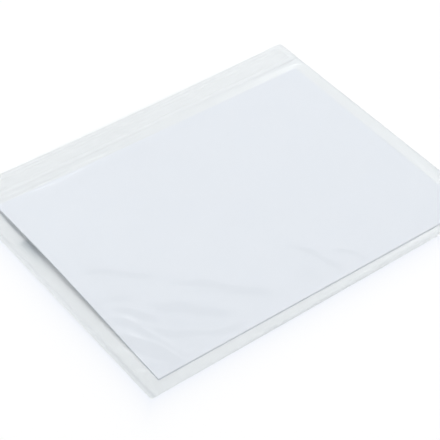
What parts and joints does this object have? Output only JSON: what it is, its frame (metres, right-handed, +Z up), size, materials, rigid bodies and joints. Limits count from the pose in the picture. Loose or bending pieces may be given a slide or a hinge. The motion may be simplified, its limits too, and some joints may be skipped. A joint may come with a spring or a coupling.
{
  "type": "clear poly mailer bag",
  "caption": "Clear flat polythene mailing bag, folded from one web of film with welded sides and a stuck-down flap, holding a thin sheaf of A4 paper.",
  "frame": {"origin": "on the floor, under the middle of the sealed bag's outline", "axes": "+X along the bag's long side with the curled end of the paper at -X, +Y from the folded end to the flap, +Z up"},
  "size_m": [0.3244, 0.2524, 0.0045],
  "materials": {
    "clear_film": "clear, slightly hazy polythene film with soft creases",
    "white_paper": "smooth white office paper",
    "hot_melt_adhesive": "clear pressed hot melt adhesive"
  },
  "bodies": {
    "root": {"film_bag": "clear_film", "paper_sheaf": "white_paper", "adhesive_strip": "hot_melt_adhesive"}
  },
  "joints": []
}
